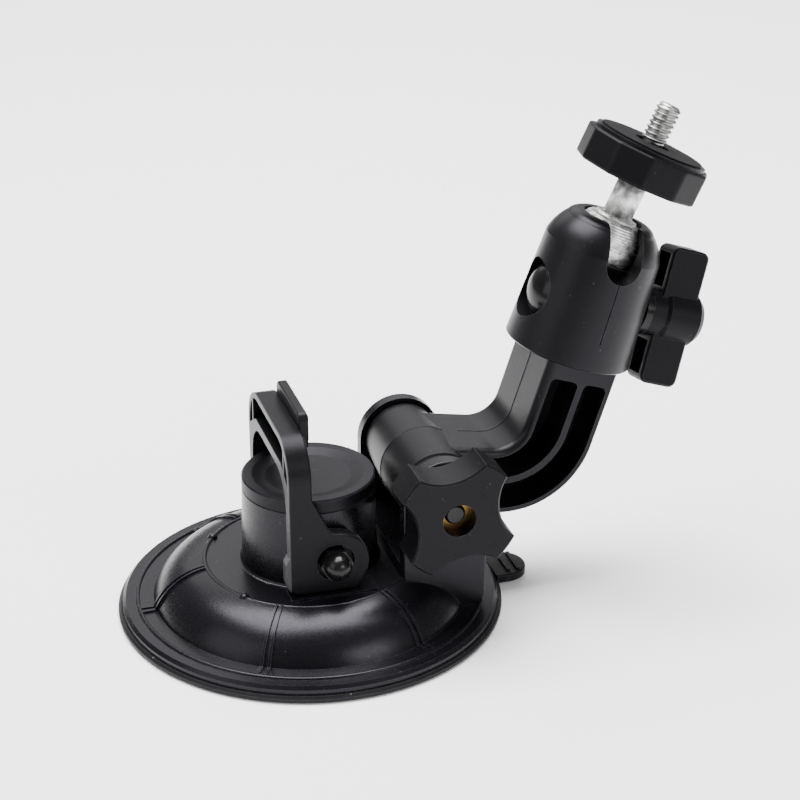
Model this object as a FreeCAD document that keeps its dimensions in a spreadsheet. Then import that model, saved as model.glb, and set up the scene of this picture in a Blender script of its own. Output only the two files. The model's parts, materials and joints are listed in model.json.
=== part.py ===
import FreeCAD, Part
import math
import os

import Sketcher

# Suction-cup camera mount: a cup with a lever lock, a hinged arm and a ball head.
# Millimetres, +Z up. The origin is the centre of the cup's underside, +X runs
# towards the arm and -Y is the side with the star knob. The arm, the ball socket
# and the stud lie in the XZ plane.

V = FreeCAD.Vector
os.makedirs("parts", exist_ok=True)
doc = FreeCAD.newDocument("SuctionMount")

# ---------------------------------------------------------------- driving sizes

DIMENSIONS = {
    # suction cup
    "cup_radius": 47.5, "cup_thick": 1.9, "cup_relief": 0.7, "cup_centre_pad": 14.0,
    "collar_inner": 9.4, "collar_outer": 11.2, "collar_top": 3.4,
    "tab_root": 46.6, "tab_reach": 56.0, "tab_half_width": 6.2, "tab_floor": 0.9, "tab_thick": 2.0,
    "tab_side": -1.3, "tab_ridge": 50.2,
    # cover on the cup
    "cover_radius": 46.4, "flange_top": 3.9, "wall": 2.0, "dome_foot": 38.8, "dome_bulge": 15.6,
    "plateau_radius": 26.2, "plateau_top": 12.9, "bead_radius": 26.0, "bead_size": 0.7,
    "rim_bead_radius": 42.7, "rib_height": 0.45, "foot_pad": 0.5, "pocket_floor": 10.8,
    "tower_radius": 16.2, "tower_foot": 16.7, "tower_top": 32.4, "tower_wall": 2.0,
    "cap_thick": 3.4, "dish_radius": 12.0, "dish_depth": 0.9,
    # fork that carries the arm
    "pivot_along": 28.4, "pivot_high": 33.5, "ear_radius": 10.4, "ear_outer": 20.4, "ear_inner": 17.1,
    "fork_floor": 16.6, "fork_reach": 43.9, "fork_hollow_top": 14.6,
    # lift post and lever
    "pin_along": 1.2, "pin_high": 21.2, "pin_radius": 2.0, "post_radius": 6.0, "lift_travel": 4.4,
    "guide_radius": 8.0, "foot_radius": 9.2, "foot_floor": 2.0, "foot_top": 4.4, "post_top": 27.0,
    "lever_outer": 20.4, "lever_leg_thick": 3.2, "lever_back": -9.8, "lever_front": -4.2,
    "lever_top": 52.4, "arch_top": 43.2, "arch_shelf": 2.2, "bail_corner": 9.6, "bail_skin": 1.4,
    "web_side": 15.6, "lever_tab_top": 56.2, "tab_half": 11.0, "ear_round": 7.8, "nut_recess": 1.55,
    "cam_heel": 12.0, "cam_round": 4.0,
    # arm
    "barrel_mid": 10.2, "barrel_back": 9.2, "barrel_front": 9.7, "barrel_back_end": 16.6,
    "barrel_front_end": 14.7, "arm_half_width": 11.7, "arm_droop": 9.8, "arm_bend": 7.5,
    "arm_inner_low": 9.4, "arm_inner_high": 9.0, "arm_outer_low": 7.3, "arm_outer_high": 9.3,
    "arm_inner_wall": 1.8, "arm_outer_wall": 1.35, "arm_rib_low": 1.4, "arm_rib_high": -0.95,
    "arm_rib_half": 0.78, "arm_web": 3.4, "seam_height": 0.12,
    # star knob and pivot bolt
    "bolt_radius": 2.5, "knob_back": 20.9, "knob_front": 31.0, "knob_reach": 15.2,
    "knob_bore": 4.1, "scallop_radius": 12.9,
    # ball socket
    "socket_along": 66.0, "socket_high": 59.8, "socket_tilt": 18.0, "socket_foot": 15.8,
    "socket_shoulder": 14.4, "shoulder_up": 27.2, "socket_top": 34.7, "ball_up": 28.8,
    "ball_radius": 8.7, "ball_flat": 5.8, "ball_step": 0.8, "mouth_radius": 7.3, "slot_width": 9.0,
    "slot_floor": 22.3, "seat_outer": 10.3, "clamp_up": 13.6, "clamp_recess": 7.4, "clamp_floor": 11.4,
    # wing knob
    "wing_gap": 16.4, "wing_span": 34.4, "wing_deep": 10.2, "wing_start": 18.4, "wing_boss": 6.8,
    "wing_neck": 6.0, "wing_end": 30.8, "wing_turn": -10.0, "blade_thick": 8.2,
    # camera stud and lock wheel
    "stud_tilt": 25.3, "spindle_radius": 2.4, "shank_radius": 3.7, "root_radius": 2.5,
    "stud_radius": 3.1, "screw_start": 26.0, "stud_end": 35.6,
    "wheel_floor": 16.4, "wheel_thick": 8.0, "wheel_radius": 15.8, "wheel_sides": 11.0,
    "wheel_ring": 0.9, "ring_radius": 14.1, "pad_radius": 12.9, "pad_thick": 1.0,
    # clearances
    "running": 0.05, "free": 0.3,
}

# degrees that one half of a double rib spans, and how the arm's bend radius grows outwards
RIB_WIDTH = 1.1
BEND_GROWTH = 0.79

sheet = doc.addObject("Spreadsheet::Sheet", "Sizes")
for row, (alias, number) in enumerate(DIMENSIONS.items(), start=1):
    sheet.set("A%d" % row, alias.replace("_", " "))
    sheet.set("B%d" % row, str(number))
    sheet.setAlias("B%d" % row, alias)
doc.recompute()


class Size:
    """A number together with the sheet expression that gives it."""

    def __init__(self, value, text):
        self.value = value
        self.text = text

    def combine(self, sign, other, swap=False):
        first, second = (as_size(other), self) if swap else (self, as_size(other))
        results = {"+": first.value + second.value, "-": first.value - second.value,
                   "*": first.value * second.value}
        return Size(results[sign], "(%s %s %s)" % (first.text, sign, second.text))

    def __add__(self, other):
        return self.combine("+", other)

    def __radd__(self, other):
        return self.combine("+", other, swap=True)

    def __sub__(self, other):
        return self.combine("-", other)

    def __rsub__(self, other):
        return self.combine("-", other, swap=True)

    def __mul__(self, other):
        return self.combine("*", other)

    __rmul__ = __mul__

    def __neg__(self):
        return self * -1.0


def as_size(number):
    return number if isinstance(number, Size) else Size(float(number), repr(float(number)))


def val(number):
    return number.value if isinstance(number, Size) else float(number)


D = {alias: Size(float(sheet.get(alias)), "Sizes." + alias) for alias in DIMENSIONS}

# ---------------------------------------------------------------- shared helpers


def bind(item, prop, size):
    """Give a property its number, and its sheet expression when it has one."""
    setattr(item, prop, val(size))
    if isinstance(size, Size):
        item.setExpression(prop, size.text)


def new_body(label):
    body = doc.addObject("PartDesign::Body", label)
    body.Label = label
    return body


def sketch_on(body, role, name, offset=0.0):
    sketch = body.newObject("Sketcher::SketchObject", name)
    plane = next(item for item in body.Origin.OriginFeatures if item.Role == role)
    sketch.AttachmentSupport = (plane, [""])
    sketch.MapMode = "FlatFace"
    sketch.AttachmentOffset = FreeCAD.Placement(V(0, 0, val(offset)), FreeCAD.Rotation())
    return sketch


def fix_point(sketch, geometry, end, x, y):
    for kind, number in (("DistanceX", x), ("DistanceY", y)):
        index = sketch.addConstraint(Sketcher.Constraint(kind, -1, 1, geometry, end, val(number)))
        if isinstance(number, Size):
            sketch.setExpression("Constraints[%d]" % index, number.text)


def arc_by_radius(start, end, radius):
    """Arc from start to end, turning left for a positive radius and right for a negative one."""
    x0, y0 = start
    x1, y1 = end
    half = math.hypot(x1 - x0, y1 - y0) / 2.0
    rise = math.sqrt(max(radius * radius - half * half, 0.0))
    side = math.copysign(1.0, radius)
    nx, ny = -(y1 - y0) / (2.0 * half), (x1 - x0) / (2.0 * half)
    cx, cy = (x0 + x1) / 2.0 + side * rise * nx, (y0 + y1) / 2.0 + side * rise * ny
    mx, my = (x0 + x1) / 2.0 - cx, (y0 + y1) / 2.0 - cy
    reach = abs(radius) / math.hypot(mx, my) if math.hypot(mx, my) > 1e-9 else 0.0
    middle = (cx + mx * reach, cy + my * reach)
    if reach == 0.0:
        middle = (cx - side * nx * abs(radius), cy - side * ny * abs(radius))
    return Part.Arc(V(x0, y0, 0), V(middle[0], middle[1], 0), V(x1, y1, 0))


def outline(sketch, corners):
    """Closed outline. A corner is (x, y) or (x, y, r), where r bends the edge that leaves it."""
    points = [(val(corner[0]), val(corner[1])) for corner in corners]
    for index, corner in enumerate(corners):
        start = points[index]
        end = points[(index + 1) % len(points)]
        if len(corner) == 3:
            edge = arc_by_radius(start, end, val(corner[2]))
        else:
            edge = Part.LineSegment(V(start[0], start[1], 0), V(end[0], end[1], 0))
        geometry = sketch.addGeometry(edge, False)
        if len(corner) == 2:
            fix_point(sketch, geometry, 1, corner[0], corner[1])
            after = corners[(index + 1) % len(corners)]
            fix_point(sketch, geometry, 2, after[0], after[1])


def revolve(body, corners, name="Turned", angle=360.0):
    """Turn an outline of (radius, height) corners about the body's Z axis."""
    sketch = sketch_on(body, "XZ_Plane", name + "Outline")
    outline(sketch, corners)
    turned = body.newObject("PartDesign::Revolution", name)
    turned.Profile = sketch
    turned.ReferenceAxis = (sketch, ["V_Axis"])
    turned.Angle = angle
    body.Tip = turned
    return turned


def pad(body, sketch, length, name="Pad", feature="PartDesign::Pad", midplane=False, reverse=False):
    padded = body.newObject(feature, name)
    padded.Profile = sketch
    bind(padded, "Length", length)
    padded.Midplane = midplane
    padded.Reversed = reverse
    body.Tip = padded
    return padded


def edges_where(feature, test):
    names = []
    for index, edge in enumerate(feature.Shape.Edges, start=1):
        if test(edge):
            names.append("Edge%d" % index)
    return names


def soften(body, feature, test, radius, kind="PartDesign::Fillet"):
    """Round or chamfer the edges of the feature that pass the test."""
    doc.recompute()
    names = edges_where(feature, test)
    if not names:
        raise RuntimeError("no edge to soften on " + body.Label)
    dressed = body.newObject(kind, "Soft")
    dressed.Base = (feature, names)
    bind(dressed, "Radius" if kind.endswith("Fillet") else "Size", radius)
    body.Tip = dressed
    doc.recompute()
    return dressed


def cylinder(radius, height, base=V(0, 0, 0), direction=V(0, 0, 1), name="Cylinder"):
    item = doc.addObject("Part::Cylinder", name)
    bind(item, "Radius", radius)
    bind(item, "Height", height)
    item.Placement = FreeCAD.Placement(base, FreeCAD.Rotation(V(0, 0, 1), direction))
    return item


def block(x, y, z, name="Block"):
    """Box between the low and high values given for each axis."""
    item = doc.addObject("Part::Box", name)
    for prop, (low, high) in (("Length", x), ("Width", y), ("Height", z)):
        bind(item, prop, high - low)
    item.Placement.Base = V(val(x[0]), val(y[0]), val(z[0]))
    return item


def fuse(items, name="Fused"):
    item = doc.addObject("Part::MultiFuse", name)
    item.Shapes = items
    item.Refine = True
    return item


def cut(base, tool, name="Cut"):
    item = doc.addObject("Part::Cut", name)
    item.Base = base
    item.Tool = tool
    item.Refine = True
    return item


def common(items, name="Common"):
    item = doc.addObject("Part::MultiCommon", name)
    item.Shapes = items
    return item


NODES = []


def node(item, label, placement=None):
    """Name a finished sub-part and put it in its place."""
    item.Label = label
    if placement is not None:
        item.Placement = placement
    NODES.append(item)
    return item


def polygon(sides, reach, turned=0.0):
    """Corners of a regular polygon; turned is its first corner's angle, as a share of one side's."""
    turns = [2.0 * math.pi * (number + turned) / sides for number in range(sides)]
    return [(reach * math.cos(turn), reach * math.sin(turn)) for turn in turns]


def at_side(edge, distance):
    """True for an edge in one of the two planes at a distance from the plane y = 0."""
    return abs(abs(edge.CenterOfMass.y) - val(distance)) < 0.01


def is_crosswise(edge):
    """True for a straight edge along Y."""
    box = edge.BoundBox
    return box.YLength > 1.0 and box.XLength < 0.01 and box.ZLength < 0.01


def above_foot(edge):
    """Height of an edge's middle above the socket's foot, along the socket's axis."""
    return SOCKET.inverse().multVec(edge.CenterOfMass).z


def side_span(side, near, far):
    """Low and high y of a stretch between near and far, on one side of the plane y = 0."""
    return (near, far) if side > 0 else (-far, -near)


def in_frame(base, tilt):
    """Placement whose Z axis leans by tilt degrees from vertical towards +X."""
    return FreeCAD.Placement(base, FreeCAD.Rotation(V(0, 1, 0), tilt))


def across(x, y, z):
    """Placement at a point with its Z axis along -Y, and its X axis along +X."""
    return FreeCAD.Placement(V(x, y, z), FreeCAD.Rotation(V(1, 0, 0), 90))


PIVOT = (val(D["pivot_along"]), val(D["pivot_high"]))
PIN = (val(D["pin_along"]), val(D["pin_high"]))
SOCKET = in_frame(V(val(D["socket_along"]), 0, val(D["socket_high"])), val(D["socket_tilt"]))
BALL_CENTRE = SOCKET.multVec(V(0, 0, val(D["ball_up"])))
STUD = in_frame(BALL_CENTRE, val(D["stud_tilt"]))
CLAMP = SOCKET.multiply(FreeCAD.Placement(V(0, 0, val(D["clamp_up"])), FreeCAD.Rotation(V(0, 1, 0), 90)))

# ---------------------------------------------------------------- suction cup


def make_suction_cup():
    body = new_body("suction_cup")
    edge = 0.6
    revolve(body, [
        (0, 0), (D["cup_centre_pad"], 0), (D["cup_centre_pad"] + 4, D["cup_relief"]),
        (38, D["cup_relief"]), (42, 0), (D["cup_radius"] - edge, 0), (D["cup_radius"], edge),
        (D["cup_radius"], D["cup_thick"] - edge), (D["cup_radius"] - edge, D["cup_thick"]),
        (D["collar_outer"], D["cup_thick"]), (D["collar_outer"], D["collar_top"]),
        (D["collar_inner"], D["collar_top"]), (D["collar_inner"], D["cup_thick"]), (0, D["cup_thick"])],
        name="Cup")
    # pull tab at the rim, with two grip ridges across it
    reach = D["tab_reach"] - D["tab_half_width"]
    low = D["tab_side"] - D["tab_half_width"]
    high = D["tab_side"] + D["tab_half_width"]
    tab_top = D["tab_floor"] + D["tab_thick"]
    sketch = sketch_on(body, "XY_Plane", "TabOutline", D["tab_floor"])
    outline(sketch, [(D["tab_root"], low), (reach, low, D["tab_half_width"] * 1.0001), (reach, high),
                     (D["tab_root"], high)])
    tab = pad(body, sketch, D["tab_thick"], "Tab")
    beyond_cup = val(D["cup_radius"]) - 0.1
    soften(body, tab, lambda e: e.BoundBox.ZMin > val(tab_top) - 0.1 and e.BoundBox.XMin > beyond_cup, 0.5)
    ridge_half, ridge_end = 0.45, 1.9
    for number in range(2):
        along = D["tab_ridge"] + number * 2.6
        ridge = sketch_on(body, "XY_Plane", "Ridge%d" % number, tab_top - 0.1)
        outline(ridge, [(along - ridge_half, low + ridge_end), (along + ridge_half, low + ridge_end),
                        (along + ridge_half, high - ridge_end), (along - ridge_half, high - ridge_end)])
        pad(body, ridge, 0.7, "RidgePad%d" % number)
    node(body, "suction_cup")


# ---------------------------------------------------------------- base cover


def dome_corners(lift=0.0):
    """Outer corners of the cover from the flange up to the plateau, raised by lift."""
    return [(D["dome_foot"] + lift, D["flange_top"] + lift, D["dome_bulge"] + lift),
            (D["plateau_radius"] + lift * 0.3, D["plateau_top"] + 0.4 + lift)]


def make_cover_shell():
    body = new_body("cover_shell")
    wall = D["wall"]
    tower_in = D["tower_radius"] - D["tower_wall"]
    edge, seam = 0.8, 0.2
    foot, crest = dome_corners()
    inner_crest = (D["plateau_radius"] - 0.6, D["plateau_top"] - wall, -(D["dome_bulge"] - wall))
    inner_foot = (D["dome_foot"] - wall, D["flange_top"] - 1.7)
    bore = D["post_radius"] + D["running"] + 0.03
    guide_top = D["plateau_top"] + 1.4
    guide_floor = D["plateau_top"] - 3.6
    revolve(body, [
        (D["cover_radius"] - 2, D["cup_thick"]), (D["cover_radius"], D["cup_thick"]),
        (D["cover_radius"], D["flange_top"] - edge), (D["cover_radius"] - edge, D["flange_top"]),
        foot, crest, (D["plateau_radius"] - 1.2, D["plateau_top"]),
        (D["tower_foot"] + edge, D["plateau_top"], -edge * 1.1), (D["tower_foot"], D["plateau_top"] + edge),
        (D["tower_radius"], D["tower_top"] - seam), (D["tower_radius"] - seam, D["tower_top"]),
        (tower_in, D["tower_top"]), (tower_in, D["plateau_top"]), (D["guide_radius"], D["plateau_top"]),
        (D["guide_radius"], guide_top), (bore, guide_top), (bore, guide_floor),
        (D["guide_radius"], guide_floor), (D["guide_radius"], D["plateau_top"] - wall), inner_crest,
        inner_foot, (D["cover_radius"] - 2, D["flange_top"] - 1.7)], name="Shell")
    return body


def make_rib(azimuth, turned, number):
    """Thin raised rib up the dome, at an angle from a radial line; two make one double rib."""
    body = new_body("rib_%d" % number)
    lift = D["rib_height"]
    foot, crest = dome_corners()
    foot_up, crest_up = dome_corners(lift)
    rim = D["rim_bead_radius"] - 0.4
    revolve(body, [
        (rim, D["flange_top"] - 0.5), (rim, D["flange_top"] + lift),
        (foot_up[0] + 0.3, D["flange_top"] + lift), foot_up, crest_up, (crest[0] - 0.2, crest[1] - 1.0, -(val(foot[2]) - 1.0)),
        (foot[0] - 1.2, foot[1] - 0.5)], name="Rib", angle=RIB_WIDTH)
    body.Placement = FreeCAD.Placement(V(0, 0, 0), FreeCAD.Rotation(V(0, 0, 1), azimuth + turned))
    return body


def ring_bead(radius, high, size, name):
    bead = doc.addObject("Part::Torus", name)
    bind(bead, "Radius1", radius)
    bind(bead, "Radius2", size)
    bead.Placement.Base = V(0, 0, val(high))
    return bead


def make_fork():
    """Two ears on one root, with the gap for the arm between them."""
    fork = new_body("fork_upright")
    left = D["pivot_along"] - D["ear_radius"]
    right = D["pivot_along"] + D["ear_radius"]
    sketch = sketch_on(fork, "XZ_Plane", "ForkOutline")
    outline(sketch, [(left, 6), (right, 6), (right, D["pivot_high"], D["ear_radius"] * 1.0001),
                     (left, D["pivot_high"])])
    upright = pad(fork, sketch, D["ear_outer"] * 2, "Upright", midplane=True)
    soften(fork, upright, lambda e: at_side(e, D["ear_outer"]) and e.CenterOfMass.z > 12.0, 0.5)
    root = block((left, 38), (-D["ear_outer"], D["ear_outer"]), (D["cup_thick"] + 0.8, 12), "fork_root")
    side_wall = cylinder(D["fork_reach"], 60, name="fork_side")
    trimmed = common([fuse([fork, root], "fork_blank"), side_wall], "fork_trimmed")
    gap = block((10, 60), (-D["ear_inner"], D["ear_inner"]), (D["fork_floor"], 60), "fork_gap")
    return cut(trimmed, gap, "fork_gapped")


def make_foot_pads():
    """Pads that the lever's feet stand on, and the pockets that its cam corners dip into."""
    pads = []
    pockets = []
    leg_inner = D["lever_outer"] - D["lever_leg_thick"]
    for side in (-1, 1):
        pads.append(block((-9.9, 11.2), side_span(side, leg_inner - 1.6, D["lever_outer"] + 1.5),
                          (D["plateau_top"] - 1, D["plateau_top"] + D["foot_pad"]), "foot_pad"))
        pads.append(block((-9.9, 7.6), side_span(side, leg_inner - 2, D["lever_outer"] + 2),
                          (D["pocket_floor"] - 1.6, D["plateau_top"] - 1), "pocket_boss"))
        pockets.append(block((-8.9, 6.0), side_span(side, leg_inner - 0.3, D["lever_outer"] + 0.3),
                             (D["pocket_floor"], D["plateau_top"] + 2), "foot_pocket"))
    return pads, pockets


def make_base_cover():
    pads, pockets = make_foot_pads()
    ribs = []
    for index, azimuth in enumerate((180.0, 240.0, 297.0, 120.0, 63.0)):
        ribs.append(make_rib(azimuth, 0.75, 2 * index))
        ribs.append(make_rib(azimuth, -0.75 - RIB_WIDTH, 2 * index + 1))
    beads = [ring_bead(D["bead_radius"], D["plateau_top"] - 0.15, D["bead_size"], "inner_bead"),
             ring_bead(D["rim_bead_radius"], D["flange_top"] - 0.1, D["bead_size"] - 0.1, "rim_bead")]
    bumps = []
    for azimuth in (145.0, -141.0):
        bump = doc.addObject("Part::Sphere", "bead_bump")
        bump.Radius = 1.3
        turn = math.radians(azimuth)
        bump.Placement.Base = V(val(D["bead_radius"]) * math.cos(turn), val(D["bead_radius"]) * math.sin(turn),
                                val(D["plateau_top"]) - 0.1)
        bumps.append(bump)
    hollow_side = D["ear_outer"] - D["wall"]
    hollow = common([block((20.2, 36.4), (-hollow_side, hollow_side),
                           (D["cup_thick"] + 0.1, D["fork_hollow_top"]), "fork_hollow_block"),
                     cylinder(D["fork_reach"] - D["wall"], 40, name="fork_hollow_side")], "fork_hollow")
    outside = fuse([make_cover_shell(), make_fork()] + pads + ribs + beads + bumps, "cover_blank")
    pivot_hole = cylinder(D["bolt_radius"] + D["running"], 60, V(PIVOT[0], 30, PIVOT[1]), V(0, -1, 0),
                          "pivot_hole")
    slot_half = D["pin_radius"] + D["free"] * 0.5
    slot = block((D["pin_along"] - slot_half, D["pin_along"] + slot_half), (-19, 19),
                 (D["pin_high"] - slot_half, D["pin_high"] + D["lift_travel"] + slot_half), "pin_slot")
    cover = cut(outside, fuse([hollow, pivot_hole, slot] + pockets, "cover_tools"), "cover_cut")
    # the fork's root ends at the tower's wall, so the tower's inside is cleared of it last
    tower_clear = cylinder(D["tower_radius"] - D["tower_wall"], 30, V(0, 0, val(D["plateau_top"]) + 1.5),
                           name="tower_clear")
    node(cut(cover, tower_clear, "base_cover"), "base_cover")


def make_tower_cap():
    body = new_body("tower_cap")
    top = D["tower_top"] + D["cap_thick"]
    skirt = D["tower_radius"] - D["tower_wall"] - D["running"]
    floor = D["tower_top"] + 0.01
    edge, seam, skirt_deep = 0.4, 0.2, 3.0
    cap = revolve(body, [
        (0, D["tower_top"]), (skirt - 1.4, D["tower_top"]), (skirt - 1.4, D["tower_top"] - skirt_deep),
        (skirt, D["tower_top"] - skirt_deep), (skirt, floor), (D["tower_radius"] - seam, floor),
        (D["tower_radius"], floor + seam), (D["tower_radius"], top - edge), (D["tower_radius"] - edge, top),
        (D["dish_radius"] + 1.6, top), (D["dish_radius"] - 1.6, top - D["dish_depth"]),
        (0, top - D["dish_depth"])], name="Cap")
    dish_edge = 2.0 * math.pi * (val(D["dish_radius"]) + 2.0)
    soften(body, cap, lambda e: e.BoundBox.ZMin > 34.5 and e.Closed and e.Length < dish_edge, 1.5)
    node(body, "tower_cap")


# ---------------------------------------------------------------- lift post, pin and lever


def make_lift_post():
    post = new_body("post_turned")
    revolve(post, [
        (0, D["foot_floor"]), (D["foot_radius"], D["foot_floor"]), (D["foot_radius"], D["foot_top"]),
        (D["post_radius"], D["foot_top"]), (D["post_radius"], D["post_top"]), (0, D["post_top"])], name="Post")
    hole = cylinder(D["pin_radius"], 40, V(PIN[0], 20, PIN[1]), V(0, -1, 0), "post_hole")
    node(cut(post, hole, "lift_post"), "lift_post")


def make_return_spring():
    """Coil between the post's foot and the underside of the plateau."""
    wire = 0.55
    low = val(D["foot_top"]) + wire + 0.02
    high = val(D["plateau_top"]) - val(D["wall"]) - wire - 0.02
    turns = 2.5
    helix = Part.makeHelix((high - low) / turns, high - low, val(D["guide_radius"]) + 0.35 + wire)
    path = Part.Wire(helix.Edges)
    path.translate(V(0, 0, low))
    start = path.Edges[0].Vertexes[0].Point
    section = Part.Wire([Part.makeCircle(wire, start, V(0, 1, 0))])
    coil = path.makePipeShell([section], True, True)
    item = doc.addObject("Part::Feature", "return_spring")
    item.Shape = Part.Solid(coil) if coil.ShapeType == "Shell" else coil
    node(item, "return_spring")


def make_lever_pin():
    reach = D["lever_outer"] + 2.4
    pin = cylinder(D["pin_radius"], reach * 2, V(PIN[0], val(reach), PIN[1]), V(0, -1, 0), "lever_pin")
    node(pin, "lever_pin")


def both_sides(maker, name):
    """Group of one piece at +Y and its mirror twin at -Y."""
    twin = doc.addObject("Part::Mirroring", name + "_twin")
    twin.Source = maker
    twin.Normal = V(0, 1, 0)
    return fuse([maker, twin], name)


def make_lever_washers():
    start = D["tower_radius"] + 0.45
    ring = cylinder(5.2, D["lever_outer"] - D["lever_leg_thick"] - start - 0.05,
                    V(PIN[0], -val(start), PIN[1]), V(0, -1, 0), "washer_disc")
    hole = cylinder(D["pin_radius"], 10, V(PIN[0], -14, PIN[1]), V(0, -1, 0), "washer_hole")
    node(both_sides(cut(ring, hole, "lever_washer"), "lever_washers"), "lever_washers")


def make_acorn_nuts():
    flat_half = 3.5
    start = val(D["lever_outer"]) - val(D["nut_recess"]) + 0.05
    body = new_body("acorn_nut")
    sketch = sketch_on(body, "XY_Plane", "Hexagon")
    outline(sketch, polygon(6, flat_half / math.cos(math.pi / 6.0)))
    pad(body, sketch, 3.2, "Hexagon")
    revolve(body, [(0, 3.0), (3.25, 3.0), (3.25, 4.0, 3.3), (0.6, 7.1), (0, 7.1)], name="Dome")
    body.Placement = across(PIN[0], -start, PIN[1])
    bore_end = start + 4.45
    bore = cylinder(D["pin_radius"], 10, V(PIN[0], 10 - bore_end, PIN[1]), V(0, -1, 0), "nut_bore")
    node(both_sides(cut(body, bore, "nut_bored"), "acorn_nuts"), "acorn_nuts")


def leg_outline():
    """Side view of a leg in X and Z: a bar, a round ear at the pin and a foot with a cam heel."""
    back, front = D["lever_back"], D["lever_front"]
    along, high = D["pin_along"], D["pin_high"]
    floor = D["plateau_top"] + D["foot_pad"] + D["running"]
    heel = along - D["cam_heel"]
    ear = D["ear_round"]

    def on_ear(angle):
        turn = math.radians(angle)
        return (along + 0.6 + ear * math.cos(turn), high - 0.5 + ear * math.sin(turn))

    return [
        (heel + D["cam_round"], floor), (along + 5.3, floor), on_ear(-20.0) + (ear,), on_ear(85.0),
        (along - 0.9, high + 7.7), (front, 38.5), (front, D["arch_top"] - 3), (back, D["arch_top"] - 3),
        (back, high + 2.5), (heel, high + 0.8), (heel, floor + D["cam_round"], D["cam_round"])]


def make_lever():
    half = D["lever_outer"]
    inner_half = half - D["lever_leg_thick"]
    back, front = D["lever_back"], D["lever_front"]
    top, arch = D["lever_top"], D["arch_top"]
    legs = new_body("lever_legs")
    sketch = sketch_on(legs, "XZ_Plane", "LegOutline")
    outline(sketch, leg_outline())
    slab = pad(legs, sketch, half * 2, "Legs", midplane=True)
    soften(legs, slab, lambda e: at_side(e, half) and e.CenterOfMass.z < val(arch) - 3.5, 0.5)
    # bail: an arch across the legs, seen along X
    bail = new_body("lever_bail")
    corner, bend = D["bail_corner"], 9.0
    low = arch - bend - 3
    sketch = sketch_on(bail, "YZ_Plane", "BailOutline", back)
    outline(sketch, [(-half, low), (-inner_half, low), (-inner_half, arch - bend, -bend),
                     (-inner_half + bend, arch), (inner_half - bend, arch, -bend), (inner_half, arch - bend),
                     (inner_half, low), (half, low), (half, top - corner, corner), (half - corner, top),
                     (-half + corner, top, corner), (-half, top - corner)])
    arched = pad(bail, sketch, front - back, "Bail")
    soften(bail, arched, lambda e: abs(e.CenterOfMass.x - val(front)) < 0.01 and
           e.CenterOfMass.z > val(arch) + 1, 0.6)
    # pocket in the bail, open towards -X, between the outer skin and the inner arch
    pocket = new_body("bail_pocket")
    skin = D["bail_skin"]
    shelf = arch + D["arch_shelf"]
    slope_end = half - skin - 6.3
    sketch = sketch_on(pocket, "YZ_Plane", "PocketOutline", back - 1)
    outline(sketch, [(-half + skin, top - 10.6), (-slope_end, shelf), (slope_end, shelf),
                     (half - skin, top - 10.6), (half - skin, top - corner, corner - skin), (half - corner, top - skin),
                     (-half + corner, top - skin, corner - skin), (-half + skin, top - corner)])
    pad(pocket, sketch, 4.9, "Pocket")
    web_half = 0.45
    webs = [block((back, front), (side * D["web_side"] - web_half, side * D["web_side"] + web_half),
                  (arch, top - 2.2), "bail_web") for side in (-1, 1)]
    # thumb tab standing on the bail's +X edge, with a grip strip
    thumb = new_body("thumb_tab")
    tab_half, tab_top, tab_corner = D["tab_half"], D["lever_tab_top"], 2.0
    tab_low = tab_top - 9.6
    tab_back, tab_thick = front - 0.6, 2.4
    sketch = sketch_on(thumb, "YZ_Plane", "ThumbOutline", tab_back)
    outline(sketch, [(-tab_half + tab_corner, tab_low), (tab_half - tab_corner, tab_low, tab_corner),
                     (tab_half, tab_low + tab_corner), (tab_half, tab_top - tab_corner, tab_corner),
                     (tab_half - tab_corner, tab_top), (-tab_half + tab_corner, tab_top, tab_corner),
                     (-tab_half, tab_top - tab_corner), (-tab_half, tab_low + tab_corner, tab_corner)])
    plate = pad(thumb, sketch, tab_thick, "Thumb")
    tab_front = val(tab_back) + tab_thick
    soften(thumb, plate, lambda e: abs(e.CenterOfMass.x - tab_front) < 0.01 or
           (abs(e.CenterOfMass.x - val(tab_back)) < 0.01 and e.CenterOfMass.z > val(top)), 0.5)
    strip = new_body("thumb_strip")
    strip_end, strip_low, strip_high = tab_half - 2.5, tab_top - 8.2, tab_top - 1.6
    sketch = sketch_on(strip, "YZ_Plane", "StripOutline", tab_front - 0.1)
    outline(sketch, [(-strip_end, strip_low), (strip_end, strip_low), (strip_end, strip_high),
                     (-strip_end, strip_high)])
    bar = pad(strip, sketch, 0.8, "Strip")
    soften(strip, bar, lambda e: abs(e.CenterOfMass.x - (tab_front + 0.7)) < 0.01, 0.3)
    # room between the legs, up to the arch
    opening = block((-14, 14), (-inner_half, inner_half), (8, arch - bend), "bail_opening")
    upper_opening = new_body("bail_opening_top")
    sketch = sketch_on(upper_opening, "YZ_Plane", "OpeningOutline", -14)
    outline(sketch, [(-inner_half, arch - bend - 1), (inner_half, arch - bend - 1),
                     (inner_half, arch - bend, bend), (inner_half - bend, arch),
                     (-inner_half + bend, arch, bend), (-inner_half, arch - bend)])
    pad(upper_opening, sketch, 28, "OpeningTop")
    pocketed = cut(fuse([legs, bail], "lever_blank"), pocket, "lever_pocketed")
    solid = fuse([pocketed, thumb, strip] + webs, "lever_solid")
    tools = [opening, upper_opening,
             cylinder(D["pin_radius"] + D["running"], 60, V(PIN[0], 30, PIN[1]), V(0, -1, 0), "lever_hole")]
    for side in (-1, 1):
        floor = val(half) - val(D["nut_recess"])
        tools.append(cylinder(4.7, 4, V(PIN[0], side * floor, PIN[1]), V(0, side, 0), "nut_recess"))
    node(cut(solid, fuse(tools, "lever_tools"), "lever"), "lever")


# ---------------------------------------------------------------- arm


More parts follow.
